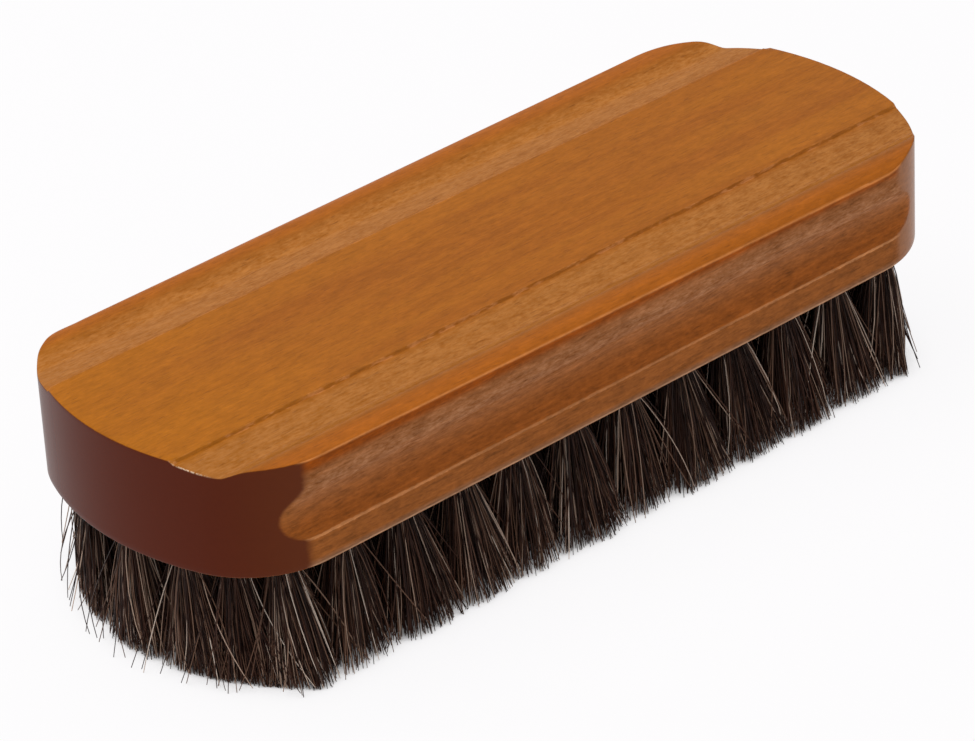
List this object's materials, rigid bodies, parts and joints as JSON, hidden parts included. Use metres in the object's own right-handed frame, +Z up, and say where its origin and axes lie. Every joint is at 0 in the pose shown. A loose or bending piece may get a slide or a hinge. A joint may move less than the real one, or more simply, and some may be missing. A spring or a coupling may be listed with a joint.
{
  "type": "shoe shine brush",
  "caption": "Hand brush for polishing shoes: a long lacquered wooden block with thumb grooves on top and finger coves along its sides, over a dense bed of dark horsehair.",
  "frame": {"origin": "middle of the trimmed bristle tips, on the surface that the brush stands on", "axes": "+X along the block, +Y across it, +Z up from the bristle tips to the panel on top"},
  "size_m": [0.17, 0.0632, 0.0434],
  "materials": {
    "lacquered_wood": "satin lacquer",
    "horsehair": "natural dark hair",
    "steel_wire": "drawn flat wire"
  },
  "bodies": {
    "root": {"handle_block": "lacquered_wood", "tuft_row_1": "horsehair", "tuft_row_2": "horsehair", "tuft_row_3": "horsehair", "tuft_row_4": "horsehair", "tuft_row_5": "horsehair", "tuft_row_6": "horsehair", "tuft_row_7": "horsehair", "tuft_row_8": "horsehair", "tuft_row_9": "horsehair", "anchor_row_1": "steel_wire", "anchor_row_2": "steel_wire", "anchor_row_3": "steel_wire", "anchor_row_4": "steel_wire", "anchor_row_5": "steel_wire", "anchor_row_6": "steel_wire", "anchor_row_7": "steel_wire", "anchor_row_8": "steel_wire", "anchor_row_9": "steel_wire"}
  },
  "joints": []
}
